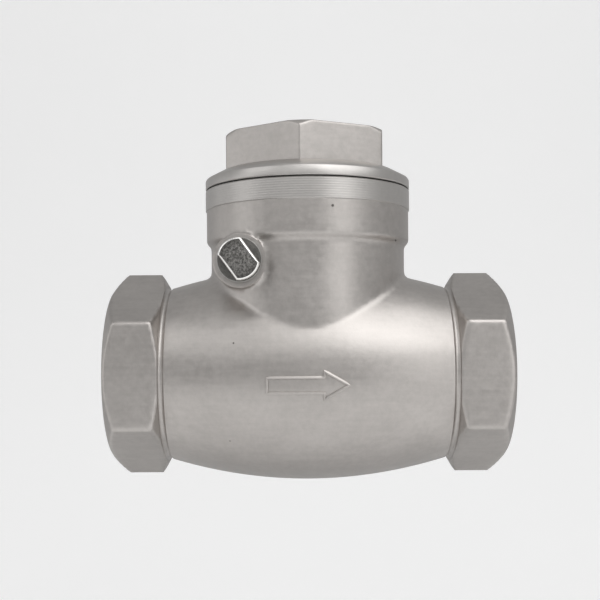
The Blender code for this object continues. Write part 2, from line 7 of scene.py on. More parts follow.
import bpy
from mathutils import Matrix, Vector


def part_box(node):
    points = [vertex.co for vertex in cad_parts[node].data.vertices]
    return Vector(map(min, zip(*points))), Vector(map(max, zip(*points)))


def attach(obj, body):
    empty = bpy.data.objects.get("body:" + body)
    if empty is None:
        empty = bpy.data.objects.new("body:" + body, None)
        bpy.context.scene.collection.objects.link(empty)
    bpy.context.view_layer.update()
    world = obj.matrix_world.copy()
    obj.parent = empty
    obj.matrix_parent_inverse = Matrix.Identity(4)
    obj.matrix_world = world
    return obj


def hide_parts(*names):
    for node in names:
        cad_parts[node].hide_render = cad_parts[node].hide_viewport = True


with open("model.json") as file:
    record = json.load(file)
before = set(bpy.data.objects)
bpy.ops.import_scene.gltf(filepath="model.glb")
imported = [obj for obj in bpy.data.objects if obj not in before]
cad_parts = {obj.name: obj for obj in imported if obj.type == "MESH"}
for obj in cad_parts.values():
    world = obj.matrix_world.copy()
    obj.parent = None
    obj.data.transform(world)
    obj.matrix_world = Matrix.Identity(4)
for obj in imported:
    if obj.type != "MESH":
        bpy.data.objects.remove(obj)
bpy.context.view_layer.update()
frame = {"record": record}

MM = 0.001
FULL_TURN = 2 * math.pi
STEPS = 192

# ---------------------------------------------------------------- sizes, from the frame where it has them
body_high = Vector(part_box("valve_body")[1])
cap_low, cap_high = (Vector(corner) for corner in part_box("bonnet_cap"))
gasket_high = Vector(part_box("bonnet_gasket")[1])
pin_low, pin_high = (Vector(corner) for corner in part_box("hinge_pin"))

HALF = body_high.x
NECK_TOP = body_high.z
PIN_AXIS = Vector(((pin_low.x + pin_high.x) / 2, 0, (pin_low.z + pin_high.z) / 2))
PIN_RADIUS = (pin_high.z - pin_low.z) / 2
RIM_RADIUS = cap_high.x
CAP_TOP = cap_high.z

BELLY_RADIUS = 33.1 * MM
BELLY_ARC = 140 * MM
BARREL_END = 46 * MM
HEX_CORNER = 27 * MM / math.cos(math.pi / 6)
HEX_INNER_X = 43.4 * MM
HEX_ROOT = 26.6 * MM
HEX_FACE = 26.0 * MM
SOCKET_RADIUS = 22.4 * MM
SOCKET_INNER_X = 41 * MM
PORT_RADIUS = 18.5 * MM
SEAT_X = -15 * MM
SEAT_RADIUS = 23 * MM
WALL = 3.2 * MM
NECK_RADIUS = 30.2 * MM
NECK_SHOULDER = 39.2 * MM
COLLAR_RADIUS = 31.6 * MM
BAND_BOTTOM = 50.4 * MM
BOSS_RADIUS = 7.6 * MM
BOSS_FACE = 27.9 * MM
GASKET_THICKNESS = 0.42 * MM
THREAD_PITCH = 25.4 * MM / 11
THREAD_DEPTH = 1.48 * MM
CAP_CORNER = 27.3 * MM
CAP_TOP_RADIUS = 25.2 * MM
CAP_CHAMFER = math.radians(40)
CAP_TURN = math.radians(-4.9)
PLUG_TURN = math.radians(36)
CAST_VOXEL = 0.74 * MM
STUD_HOLE = 4.3 * MM
SPLIT_PIN_X = 3.6 * MM

# ---------------------------------------------------------------- studio light and camera
CAMERA_PLACE = (-2.6 * MM, -298.8 * MM, 9.7 * MM)
CAMERA_TILT = math.radians(0.375)
CAMERA_LENS = 56.8
CAMERA_SHIFT = 0.07
ROOM_LIGHT = 0.45
FLOOR_DEPTH = -0.20
FLOOR_GLOW, BACKDROP_GLOW = 0.27, 0.315
# Name, azimuth, elevation, size in metres and brightness
SOFTBOXES = (("key", 45, 46, (0.85, 0.80), 1.4), ("key_core", 28, 36, (0.42, 0.42), 0.8),
             ("top_front", 0, 50, (0.42, 0.75), 0.8), ("overhead", 0, 85, (0.42, 0.42), 0.5),
             ("left_fill", -60, 34, (0.45, 0.45), 1.0), ("left_front", -22, 28, (0.50, 0.42), 0.42),
             ("right_low", 38, 5, (0.42, 0.42), 0.9), ("left_low", -75, 5, (0.42, 0.42), 0.6),
             ("far_left", -110, 5, (0.42, 0.42), 0.25))


# ---------------------------------------------------------------- modelling by hand
def only(obj):
    if bpy.context.mode != "OBJECT":
        bpy.ops.object.mode_set(mode="OBJECT")
    bpy.ops.object.select_all(action="DESELECT")
    obj.select_set(True)
    bpy.context.view_layer.objects.active = obj
    return obj


def edit(obj):
    only(obj)
    bpy.ops.object.mode_set(mode="EDIT")
    bpy.ops.mesh.select_all(action="SELECT")


def settle(obj):
    """Leaves edit mode and puts the object's place into its mesh."""
    only(obj)
    bpy.ops.object.transform_apply(location=True, rotation=True, scale=True)
    return obj


def named(name):
    obj = bpy.context.active_object
    obj.name = obj.data.name = name
    return obj


def wire(name, points):
    """One vertex, extruded from point to point."""
    bpy.ops.object.select_all(action="DESELECT")
    bpy.ops.mesh.primitive_plane_add(size=MM)
    obj = named(name)
    edit(obj)
    bpy.ops.mesh.merge(type="CENTER")
    bpy.ops.transform.translate(value=points[0])
    for before, after in zip(points, points[1:]):
        bpy.ops.mesh.extrude_region_move(TRANSFORM_OT_translate={"value": after - before})
    bpy.ops.mesh.select_all(action="SELECT")
    return obj


def on_axis(radius, along, axis, centre):
    point = {"X": (along, 0, radius), "Y": (0, along, radius), "Z": (radius, 0, along)}[axis]
    return Vector(centre) + Vector(point)


def lathe(name, outline, axis="X", centre=(0, 0, 0), steps=STEPS):
    """Spins an outline of (radius, along) points. It starts and ends on the axis, or is a ring's loop."""
    points = [on_axis(radius, along, axis, centre) for radius, along in outline]
    if outline[0][0] > 0:
        points.append(points[0])
    obj = wire(name, points)
    direction = on_axis(0, 1, axis, (0, 0, 0))
    bpy.ops.mesh.spin(steps=steps, angle=FULL_TURN, center=centre, axis=direction)
    bpy.ops.mesh.select_all(action="SELECT")
    bpy.ops.mesh.remove_doubles(threshold=0.002 * MM)
    bpy.ops.mesh.normals_make_consistent(inside=False)
    return settle(obj)


def arc(centre, radius, start, end, steps=6):
    """Points of a circular arc in an outline, with angles in degrees from the radius direction."""
    angles = [math.radians(start + (end - start) * i / steps) for i in range(steps + 1)]
    return [(centre[0] + radius * math.cos(a), centre[1] + radius * math.sin(a)) for a in angles]


def prism(name, corner, low, high, axis="X", turn=0.0):
    """A hexagonal prism along X with one corner up, or along Z with one towards -Y, then turned."""
    lie = {"X": (0, math.pi / 2, 0), "Z": (0, 0, turn - math.pi)}[axis]
    middle = on_axis(0, (low + high) / 2, axis, (0, 0, 0))
    bpy.ops.object.select_all(action="DESELECT")
    bpy.ops.mesh.primitive_cylinder_add(vertices=6, radius=corner, depth=high - low,
                                        location=middle, rotation=lie)
    obj = named(name)
    if axis == "X":
        # A cylinder primitive starts with a corner on its own +Y
        edit(obj)
        bpy.ops.transform.rotate(value=math.pi / 2, orient_axis="X", orient_type="GLOBAL",
                                 center_override=middle)
    return settle(obj)


def modify(obj, kind, **settings):
    modifier = obj.modifiers.new(kind.lower(), kind)
    for key, value in settings.items():
        setattr(modifier, key, value)
    only(obj)
    bpy.ops.object.modifier_apply(modifier=modifier.name)
    return obj


def boolean(obj, operation, tool):
    modify(obj, "BOOLEAN", operation=operation, solver="MANIFOLD", object=tool)
    bpy.data.objects.remove(tool, do_unlink=True)
    return obj


def cut(obj, *tools):
    for tool in tools:
        boolean(obj, "DIFFERENCE", tool)
    return obj


def unite(obj, *tools):
    for tool in tools:
        boolean(obj, "UNION", tool)
    return obj


def keep_common(obj, tool):
    return boolean(obj, "INTERSECT", tool)


def joined(name, pieces):
    only(pieces[0])
    for piece in pieces[1:]:
        piece.select_set(True)
    bpy.ops.object.join()
    return named(name)


def cast(obj, voxel, rounds):
    """Melts overlapping shapes into one skin with soft edges, as a casting has."""
    modify(obj, "REMESH", mode="VOXEL", voxel_size=voxel, use_smooth_shade=True)
    return modify(obj, "SMOOTH", factor=0.5, iterations=rounds)


def shaded(obj, angle=40):
    only(obj)
    bpy.ops.object.shade_smooth_by_angle(angle=math.radians(angle))
    return obj


# ---------------------------------------------------------------- shader graphs
class Value:
    """One socket of a shader graph. Python's operators add Math nodes."""

    def __init__(self, graph, socket):
        self.graph, self.socket = graph, socket

    def math(self, operation, *others, clamp=False):
        node = self.graph.tree.nodes.new("ShaderNodeMath")
        node.operation, node.use_clamp = operation, clamp
        for slot, value in zip(node.inputs, others):
            self.graph.feed(slot, value)
        return Value(self.graph, node.outputs[0])

    def __add__(self, other):
        return self.math("ADD", self, other)

    __radd__ = __add__

    def __sub__(self, other):
        return self.math("SUBTRACT", self, other)

    def __rsub__(self, other):
        return self.math("SUBTRACT", other, self)

    def __mul__(self, other):
        return self.math("MULTIPLY", self, other)

    __rmul__ = __mul__

    def __pow__(self, other):
        return self.math("POWER", self, other)

    def __lt__(self, other):
        return self.math("LESS_THAN", self, other)

    def size(self):
        return self.math("ABSOLUTE", self)

    def clamped(self):
        return self.math("ADD", self, 0, clamp=True)

    def step(self, low, high):
        """0 below low, 1 above high and smooth between."""
        return self.graph.node("ShaderNodeMapRange", {"interpolation_type": "SMOOTHSTEP"}, "Result",
                               {"Value": self, "From Min": low, "From Max": high})


class Graph:
    """A new material's nodes, with object coordinates in millimetres."""

    def __init__(self, name):
        self.material = bpy.data.materials.new(name)
        self.material.use_nodes = True
        self.tree = self.material.node_tree
        self.shader = self.tree.nodes["Principled BSDF"]
        place = self.node("ShaderNodeTexCoord", {}, "Object", {})
        self.place = self.node("ShaderNodeVectorMath", {"operation": "SCALE"}, "Vector",
                               {"Vector": place, "Scale": 1 / MM})
        split = self.tree.nodes.new("ShaderNodeSeparateXYZ")
        self.feed(split.inputs[0], self.place)
        self.x, self.y, self.z = (Value(self, socket) for socket in split.outputs)

    def feed(self, socket, value):
        if isinstance(value, Value):
            self.tree.links.new(value.socket, socket)
        elif isinstance(value, tuple) and len(value) == 3 and socket.type == "RGBA":
            socket.default_value = (*value, 1)
        else:
            socket.default_value = value

    def node(self, kind, settings, output, inputs):
        """Adds a node, with its settings first, then its inputs, and returns one output."""
        node = self.tree.nodes.new(kind)
        for key, value in settings.items():
            setattr(node, key, value)
        for key, value in inputs.items():
            self.feed(node.inputs[key], value)
        return Value(self, node.outputs[output])

    def noise(self, scale, detail=3.0, rough=0.5, stretch=None):
        at = self.place
        if stretch:
            at = self.node("ShaderNodeVectorMath", {"operation": "MULTIPLY"}, "Vector",
                           {0: at, 1: stretch})
        return self.node("ShaderNodeTexNoise", {}, 0,
                         {"Vector": at, "Scale": scale, "Detail": detail, "Roughness": rough})

    def mix(self, factor, low, high):
        """A blend of two colours."""
        node = self.tree.nodes.new("ShaderNodeMix")
        node.data_type = "RGBA"
        for socket, value in zip((node.inputs[0], node.inputs[6], node.inputs[7]), (factor, low, high)):
            self.feed(socket, value)
        return Value(self, node.outputs[2])

    def distance(self, axis, centre=(0, 0, 0)):
        """Distance from an axis through a centre, in millimetres."""
        a, b = {"X": (self.y - centre[1], self.z - centre[2]),
                "Y": (self.x - centre[0], self.z - centre[2]),
                "Z": (self.x - centre[0], self.y - centre[1])}[axis]
        return (a * a + b * b) ** 0.5

    def bump(self, height, distance, strength=1.0):
        """A change of the normal, where a height of 1 stands for a distance in millimetres."""
        inputs = {"Height": height, "Distance": distance * MM, "Strength": strength}
        return self.node("ShaderNodeBump", {}, 0, inputs)

    def finish(self, **inputs):
        for key, value in inputs.items():
            self.feed(self.shader.inputs[key.replace("_", " ")], value)
        return self.material


def pits(graph, scale, share, radius):
    """Sparse round pores: 1 at a pore's middle, 0 elsewhere."""
    cell = graph.tree.nodes.new("ShaderNodeTexVoronoi")
    graph.feed(cell.inputs["Vector"], graph.place)
    cell.inputs["Scale"].default_value = scale
    away = Value(graph, cell.outputs["Distance"])
    pick = graph.node("ShaderNodeSeparateColor", {}, 0, {"Color": Value(graph, cell.outputs["Color"])})
    return (1 - away.step(radius * 0.4 * scale, radius * scale)) * (pick < share)


STEEL_DARK = (0.43, 0.407, 0.388)
STEEL_LIGHT = (0.53, 0.503, 0.481)
PORES = ((6.9, 48.3, 0.45), (26.1, 39.8, 0.35), (-21.5, 9.5, 0.3))  # x, z and radius, on the front


def cast_steel(name, turned=None):
    """Blasted stainless casting. turned gives the mask and the distance of faces that a lathe has cut."""
    graph = Graph(name)
    cloud = graph.noise(0.06, 4, 0.6)
    mottle = graph.noise(0.55, 5, 0.65)
    grain = graph.noise(2.4, 4, 0.7)
    pore = pits(graph, 0.13, 0.12, 0.28)
    for x, z, radius in PORES:
        away = ((graph.x - x) * (graph.x - x) + (graph.z - z) * (graph.z - z)) ** 0.5
        pore = (pore + (1 - away.step(radius * 0.5, radius)) * (graph.y < 0)).clamped()
    streak = graph.noise(0.5, 4, 0.55, stretch=(0.12, 1.0, 1.6))
    tone = cloud * 0.34 + mottle * 0.36 + grain * 0.1 + streak * 0.2
    colour = graph.mix(tone.step(0.32, 0.68), STEEL_DARK, STEEL_LIGHT)
    # Each pore is sunk by the bump below; its near-black colour is painted shade inside the pit.
    colour = graph.mix(pore * 0.75, colour, (0.06, 0.055, 0.05))
    rough = 0.38 + (mottle - 0.5) * 0.18 + (streak - 0.5) * 0.08
    height = grain * 0.35 + mottle * 0.65 - pore * 6
    if turned:
        mask, run = turned(graph)
        scratch = graph.noise(1.0, 4, 0.6, stretch=(0.3, 0.3, 14))
        lines = (run * 9.0).math("SINE", run * 9.0) * 0.5 + scratch * 0.5
        rough = rough * (1 - mask) + (0.31 + graph.noise(0.2) * 0.1) * mask
        colour = graph.mix(mask * 0.5, colour, (0.56, 0.55, 0.535))
        height = height * (1 - mask * 0.8) + lines * mask * 0.5
    return graph.finish(Base_Color=colour, Metallic=1.0, Roughness=rough.clamped(),
                        Normal=graph.bump(height, 0.05, 0.8))


def body_machining(graph):
    """The band round the neck's mouth, the two end faces and everything inside the sockets."""
    out = graph.distance("X")
    band = graph.z.step(BAND_BOTTOM / MM - 0.2, BAND_BOTTOM / MM)
    ends = graph.x.size().step(HALF / MM - 0.2, HALF / MM - 0.05)
    inside = (1 - out.step(23.9, 24.1)) * graph.x.size().step(40.9, 41.1)
    mask = (band + ends + inside).clamped()
    return mask, graph.z * band + out * (1 - band)


def cap_machining(graph):
    """The cap's flange and cone, which are turned."""
    mask = 1 - graph.z.step(62.3, 62.5)
    return mask, graph.distance("Z")


def turned_steel(name, axis, centre=(0, 0, 0), tint=(0.60, 0.59, 0.57)):
    """Fine turned stainless: rings round an axis."""
    graph = Graph(name)
    run = graph.distance(axis, tuple(value / MM for value in centre))
    lines = (run * 26.0).math("SINE", run * 26.0)
    cloud = graph.noise(0.25, 4, 0.6)
    grain = graph.noise(3.0, 3, 0.6)
    shade = tuple(value * 0.72 for value in tint)
    colour = graph.mix((cloud * 0.6 + grain * 0.4).step(0.3, 0.7), shade, tint)
    return graph.finish(Base_Color=colour, Metallic=1.0, Roughness=(0.24 + cloud * 0.14).clamped(),
                        Normal=graph.bump(lines * 0.4 + grain * 0.6, 0.02, 0.6))


def plug_steel(name, side):
    """A plug with a dark, rough-cut end face and dull walls; its broken edges and collar rim carry a
    painted highlight.
    """
    graph = Graph(name)
    end, head, rim = 34.0, 30.6, 6.15
    out = graph.y * side
    away = graph.distance("Y", tuple(PIN_AXIS / MM))
    face = out.step(end - 0.05, end - 0.02)
    edge = out.step(end - 0.75, end - 0.70) * (1 - face)
    collar = (1 - out.step(head - 0.12, head - 0.08)) * away.step(rim - 0.02, rim + 0.04)
    # Painted highlight: the broken edges and the collar's rim turn near-white, whatever the light.
    painted_edge_highlight = (edge + collar * 0.3).clamped()
    speck = graph.noise(1.7, 5, 0.8)
    cloud = graph.noise(0.6, 3, 0.6)
    dull = graph.mix(cloud, (0.10, 0.097, 0.092), (0.24, 0.233, 0.22))
    dark = graph.mix(speck.step(0.36, 0.70), (0.065, 0.063, 0.060), (0.36, 0.35, 0.335))
    dark = graph.mix(away.step(3.2, 5.6) * 0.55, dark, (0.05, 0.048, 0.045))
    colour = graph.mix(painted_edge_highlight, graph.mix(face, dull, dark), (0.93, 0.92, 0.90))
    rough = 0.5 + speck * 0.2 - painted_edge_highlight * 0.34
    return graph.finish(Base_Color=colour, Metallic=1.0, Roughness=rough,
                        Normal=graph.bump(speck * face + cloud * 0.2, 0.12, 0.8))


def fibre(name):
    """Dark compressed gasket sheet with a cut edge."""
    graph = Graph(name)
    strand = graph.noise(1.5, 5, 0.7, stretch=(1, 1, 6))
    colour = graph.mix(strand, (0.018, 0.018, 0.018), (0.07, 0.068, 0.064))
    return graph.finish(Base_Color=colour, Roughness=0.75 + strand * 0.15,
                        Normal=graph.bump(strand, 0.08))


def ptfe(name):
    """White PTFE, faintly waxy, with fine turning marks."""
    graph = Graph(name)
    cloud = graph.noise(0.4, 4, 0.6)
    run = graph.distance("X")
    colour = graph.mix(cloud, (0.78, 0.78, 0.75), (0.88, 0.88, 0.86))
    return graph.finish(Base_Color=colour, Roughness=0.38 + cloud * 0.15,
                        Normal=graph.bump((run * 18.0).math("SINE", run * 18.0), 0.01, 0.6))


# ---------------------------------------------------------------- valve body
def belly(x):
    return BELLY_RADIUS - x * x / (2 * BELLY_ARC)


def belly_outline(offset, low, high, steps=24):
    points = [high + (low - high) * i / steps for i in range(steps + 1)]
    return [(belly(x) + offset, x) for x in points]


def hex_end(name, side):
    """A hexagonal end, a little too long, with both rims turned to a chamfer."""
    clear = HEX_CORNER + 1 * MM
    inner_slope, outer_slope, over = 2.0, 1.5, 1.2 * MM
    inner = HEX_INNER_X + (clear - HEX_ROOT) / inner_slope
    buried = HEX_INNER_X - 2 * MM / inner_slope
    outer = HALF - (clear - HEX_FACE) / outer_slope
    outline = [(0, HALF + over), (HEX_FACE - over * outer_slope, HALF + over), (clear, outer),
               (clear, inner), (HEX_ROOT - 2 * MM, buried), (0, buried)]
    outline = [(radius, side * x) for radius, x in outline]
    low, high = sorted((side * (buried - MM), side * (HALF + 2 * over)))
    return keep_common(lathe(name, outline), prism("flats", HEX_CORNER, low, high))


def root_groove(side):
    """A ring that rounds out the root between the barrel and a hexagonal end."""
    ring_radius, wire_radius, place = 27.2 * MM, 1.0 * MM, 42.9 * MM
    bpy.ops.object.select_all(action="DESELECT")
    bpy.ops.mesh.primitive_torus_add(major_radius=ring_radius, minor_radius=wire_radius,
                                     major_segments=STEPS, minor_segments=20,
                                     location=(side * place, 0, 0),
                                     rotation=(0, math.pi / 2, 0))
    return settle(named("root_groove"))


def tap(side):
    """A cutter with the pipe thread's helical ridge, closed at both ends."""
    low, high = SOCKET_INNER_X + 2.2 * MM, HALF + 2 * MM
    crest = SOCKET_RADIUS - 0.05 * MM
    root = SOCKET_RADIUS + THREAD_DEPTH
    turns = math.ceil((high - low) / THREAD_PITCH) + 2
    start = low - THREAD_PITCH
    tooth = [(crest, 0), (crest, 0.22), (root, 0.46), (root, 0.62), (crest, 0.86), (crest, 1)]
    points = [on_axis(radius, start + part * THREAD_PITCH, "X", (0, 0, 0)) for radius, part in tooth]
    obj = settle(wire("tap", points))
    modify(obj, "SCREW", axis="X", steps=STEPS // 2, render_steps=STEPS // 2, iterations=turns,
           screw_offset=THREAD_PITCH, use_merge_vertices=True, merge_threshold=0.003 * MM)
    for end, normal in ((low, (-1, 0, 0)), (high, (1, 0, 0))):
        edit(obj)
        bpy.ops.mesh.bisect(plane_co=(end, 0, 0), plane_no=normal, use_fill=True, clear_outer=True)
    edit(obj)
    # The turns of the screw only touch; a Boolean needs them to share their points
    bpy.ops.mesh.remove_doubles(threshold=0.003 * MM)
    if side < 0:
        # A half turn about Z keeps the thread right-handed
        bpy.ops.transform.rotate(value=math.pi, orient_axis="Z", orient_type="GLOBAL",
                                 center_override=(0, 0, 0))
    bpy.ops.mesh.normals_make_consistent(inside=False)
    return settle(obj)


def socket_cutter(side):
    """The mouth's chamfer and the plain bore behind the thread; the inlet's runs on to the seat."""
    over, mouth = HALF + 3 * MM, SOCKET_RADIUS + THREAD_DEPTH + 0.1 * MM
    outline = [(0, over), (mouth + 3 * MM, over), (mouth, HALF),
               (SOCKET_RADIUS - 0.1 * MM, HALF - 1.6 * MM),
               (SOCKET_RADIUS, HALF - 1.7 * MM), (SOCKET_RADIUS, SOCKET_INNER_X + 0.8 * MM)]
    if side < 0:
        outline += [(SOCKET_RADIUS - 0.8 * MM, SOCKET_INNER_X), (PORT_RADIUS + 0.5 * MM, SOCKET_INNER_X),
                    (PORT_RADIUS, SOCKET_INNER_X - 0.5 * MM), (PORT_RADIUS, -SEAT_X + 0.4 * MM),
                    (PORT_RADIUS + 0.4 * MM, -SEAT_X), (PORT_RADIUS + 1.4 * MM, -SEAT_X - MM),
                    (0, -SEAT_X - MM)]
    else:
        outline += [(SOCKET_RADIUS - 0.8 * MM, SOCKET_INNER_X), (0, SOCKET_INNER_X)]
    return lathe("socket_cutter", [(radius, side * x) for radius, x in outline])


def chamber_cutter():
    """The room behind the seat, melted together with the clapper's room under the cap."""
    throat, pocket = 19.3 * MM, -28 * MM
    outline = [(0, SOCKET_INNER_X + MM), (throat, SOCKET_INNER_X + MM), (throat, SOCKET_INNER_X - MM)]
    outline += belly_outline(-WALL, pocket, 34 * MM)
    outline += [(SEAT_RADIUS, pocket), (SEAT_RADIUS, SEAT_X), (0, SEAT_X)]
    return lathe("chamber_cutter", outline)


def neck_cutters():
    bore, mouth, floor, ledge = 27 * MM, 25.3 * MM, 24.5 * MM, -10 * MM
    upper = lathe("neck_cutter", [(0, NECK_TOP + 2 * MM), (mouth + 0.5 * MM, NECK_TOP + 2 * MM),
                                  (mouth + 0.5 * MM, NECK_TOP), (mouth, NECK_TOP - 0.5 * MM),
                                  (mouth, 46 * MM), (bore, 45.2 * MM), (bore, floor), (0, floor)], "Z")
    lower = lathe("clapper_room", [(0, floor + 2 * MM), (bore - 0.4 * MM, floor + 2 * MM),
                                   (bore - 0.4 * MM, 0), (0, 0)], "Z")
    edit(lower)
    bpy.ops.mesh.bisect(plane_co=(ledge, 0, 0), plane_no=(1, 0, 0), use_fill=True, clear_inner=True)
    bpy.ops.mesh.select_all(action="SELECT")
    bpy.ops.mesh.normals_make_consistent(inside=False)
    settle(lower)
    return upper, lower


def arrow_points():
    """The raised arrow's closed outline on the barrel's front, along the middle of its bead."""
    tail, base, tip = -12.0 * MM, 4.2 * MM, 11.2 * MM
    shaft, wing, middle = 2.2 * MM, 4.0 * MM, -2.5 * MM
    corners = [(tail, shaft), (base, shaft), (base, wing), (tip, 0), (base, -wing), (base, -shaft),
               (tail, -shaft)]
    outline = []
    for (x, z), (next_x, next_z) in zip(corners, corners[1:] + corners[:1]):
        parts = max(1, round(math.hypot(next_x - x, next_z - z) / (1.2 * MM)))
        for i in range(parts):
            outline.append((x + (next_x - x) * i / parts, middle + z + (next_z - z) * i / parts))
    sunk = 0.1 * MM
    points = [Vector((x, -math.sqrt((belly(x) - sunk) ** 2 - z * z), z)) for x, z in outline]
    return points + points[:1]


def flow_arrow():
    obj = wire("flow_arrow", arrow_points())
    bpy.ops.mesh.remove_doubles(threshold=0.01 * MM)
    only(obj)
    bpy.ops.object.convert(target="CURVE")
    obj = bpy.context.active_object
    obj.data.bevel_depth = 0.55 * MM
    obj.data.bevel_resolution = 2
    bpy.ops.object.convert(target="MESH")
    return settle(bpy.context.active_object)


def make_body():
    boss = [(0, BOSS_FACE), (BOSS_RADIUS, BOSS_FACE), (BOSS_RADIUS, 12 * MM), (0, 12 * MM)]
    barrel = [(0, BARREL_END)] + belly_outline(0, -BARREL_END, BARREL_END) + [(0, -BARREL_END)]
    neck = [(0, 50 * MM), (NECK_RADIUS, 50 * MM), (NECK_RADIUS, 0), (0, 0)]
    collar = [(0, BAND_BOTTOM + MM), (COLLAR_RADIUS, BAND_BOTTOM + MM),
              (COLLAR_RADIUS, NECK_SHOULDER + 1.3 * MM), (NECK_RADIUS - MM, NECK_SHOULDER - 0.8 * MM),
              (0, NECK_SHOULDER - 0.8 * MM)]
    middle = joined("middle", [lathe("barrel", barrel), lathe("neck", neck, "Z")])
    cast(middle, (0.6) * MM, 5)
    bosses = [lathe("boss", [(radius, side * y) for radius, y in boss], "Y", PIN_AXIS, 64)
              for side in (-1, 1)]
    body = joined("cast_body", [middle, hex_end("inlet_hex", -1), hex_end("outlet_hex", 1),
                                lathe("collar", collar, "Z")] + bosses)
    cast(body, CAST_VOXEL, 2)
    band = lathe("band", [(0, NECK_TOP), (RIM_RADIUS - 0.3 * MM, NECK_TOP),
                          (RIM_RADIUS, NECK_TOP - 0.3 * MM), (RIM_RADIUS, BAND_BOTTOM + 0.2 * MM),
                          (RIM_RADIUS - 0.2 * MM, BAND_BOTTOM), (0, BAND_BOTTOM)], "Z")
    face, round_edge = BOSS_RADIUS + 0.3 * MM, 0.35 * MM
    crisp = [(0, BOSS_FACE), (face - round_edge, BOSS_FACE), (face, BOSS_FACE - round_edge),
             (face, BOSS_FACE - 1.2 * MM), (0, BOSS_FACE - 1.2 * MM)]
    unite(body, band, flow_arrow(),
          *(lathe("boss_face", [(radius, side * y) for radius, y in crisp], "Y", PIN_AXIS, 96)
            for side in (-1, 1)))
    cut(body, root_groove(-1), root_groove(1), chamber_cutter(), *neck_cutters())
    for side in (-1, 1):
        bpy.ops.object.select_all(action="DESELECT")
        bpy.ops.mesh.primitive_cube_add(size=1, location=(side * (HALF + 5 * MM), 0, 0),
                                        scale=(10 * MM, 80 * MM, 80 * MM))
        cut(body, settle(named("facing_cut")), socket_cutter(side), tap(side))
        lug = [(0, 24 * MM), (6.5 * MM, 24 * MM), (6.5 * MM, 8.1 * MM), (6.0 * MM, 7.6 * MM), (0, 7.6 * MM)]
        unite(body, lathe("lug", [(radius, side * y) for radius, y in lug], "Y", PIN_AXIS, 64))
    end, start, bore = 32 * MM, 22.5 * MM, PIN_RADIUS + 0.3 * MM
    half = [(0, end), (5 * MM, end), (5 * MM, start), (bore, start)]
    cut(body, lathe("pin_bore", half + [(radius, -y) for radius, y in reversed(half)], "Y", PIN_AXIS, 64))
    return shaded(body)


# ---------------------------------------------------------------- bonnet
def make_cap():
    seat, spigot = NECK_TOP + GASKET_THICKNESS, 25.0 * MM
    ledge, rim = 62.4 * MM, 59.8 * MM
    outline = [(0, ledge), (27.1 * MM, ledge), (27.5 * MM, ledge - 0.15 * MM),
               (RIM_RADIUS - 0.25 * MM, rim + 0.2 * MM), (RIM_RADIUS, rim - 0.25 * MM),
               (RIM_RADIUS, seat + 0.25 * MM), (RIM_RADIUS - 0.25 * MM, seat), (spigot, seat),
               (spigot, cap_low.z + 0.8 * MM), (spigot - 0.8 * MM, cap_low.z), (0, cap_low.z)]
    flange = lathe("cap_flange", outline, "Z")
    clear = CAP_CORNER + 1.2 * MM
    drop = (clear - CAP_TOP_RADIUS) * math.tan(CAP_CHAMFER)
    crown = [(0, CAP_TOP), (CAP_TOP_RADIUS, CAP_TOP), (clear, CAP_TOP - drop), (clear, rim), (0, rim)]
    hexagon = keep_common(lathe("cap_crown", crown, "Z"),
                          prism("cap_flats", CAP_CORNER, rim - MM, CAP_TOP + MM, "Z", CAP_TURN))
    cast(hexagon, (0.36) * MM, 1)
    hollow_top, hollow = 66.5 * MM, 20.8 * MM
    hollow_outline = [(0, hollow_top)] + arc((hollow - 6 * MM, hollow_top - 6 * MM), 6 * MM, 90, 0)
    hollow_outline += [(hollow, cap_low.z - MM), (0, cap_low.z - MM)]
    unite(flange, hexagon)
    cut(flange, lathe("cap_hollow", hollow_outline, "Z", steps=96))
    flange.name = flange.data.name = "screwed_cap"
    return shaded(flange)


def ring(name, inner, outer, low, high, axis="X", centre=(0, 0, 0), edge=0.1 * MM, steps=96):
    """A flat ring with small edge breaks."""
    outline = [(inner, high - edge), (inner + edge, high), (outer - edge, high), (outer, high - edge),
               (outer, low + edge), (outer - edge, low), (inner + edge, low), (inner, low + edge)]
    return shaded(lathe(name, outline, axis, centre, steps), 35)


# ---------------------------------------------------------------- side plugs
def make_plug(side):
    """A plain shank where the thread would be, round collar and a head with two flats, all edges broken."""
    start, collar, head, end = 22.8 * MM, 29.1 * MM, 30.6 * MM, 34.0 * MM
    head_radius, flats, edge = 6.1 * MM, 8.1 * MM, 0.7 * MM
    collar_outline = [(0, head + 0.4 * MM), (5.2 * MM, head + 0.4 * MM), (5.5 * MM, head),
                      (6.1 * MM, head), (6.4 * MM, head - 0.3 * MM), (6.4 * MM, collar + 0.1 * MM),
                      (6.3 * MM, collar), (4.7 * MM, collar), (4.7 * MM, start + 0.5 * MM),
                      (4.2 * MM, start), (0, start)]
    plug = lathe("plug_base", [(radius, side * y) for radius, y in collar_outline], "Y", PIN_AXIS, 96)
    head_outline = [(0, end), (head_radius, end), (head_radius, head - 0.2 * MM), (0, head - 0.2 * MM)]
    top = lathe("plug_head", [(radius, side * y) for radius, y in head_outline], "Y", PIN_AXIS, 96)
    across = Vector((math.cos(PLUG_TURN), 0, math.sin(PLUG_TURN)))
    for direction in (across, -across):
        edit(top)
        bpy.ops.mesh.bisect(plane_co=PIN_AXIS + direction * flats / 2, plane_no=direction,
                            use_fill=True, clear_outer=True)
    settle(top)
    modify(top, "BEVEL", width=edge, segments=3, limit_method="ANGLE",
           angle_limit=math.radians(50), use_clamp_overlap=False)
    return shaded(joined(f"side_plug_{'rear' if side > 0 else 'front'}_turned", [plug, top]), 35)


# ---------------------------------------------------------------- clapper
def make_pin():
    edge = 0.4 * MM
    outline = [(0, pin_high.y), (PIN_RADIUS - edge, pin_high.y), (PIN_RADIUS, pin_high.y - edge)]
    outline += [(radius, -y) for radius, y in reversed(outline)]
    return shaded(lathe("ground_pin", outline, "Y", PIN_AXIS, 64), 35)


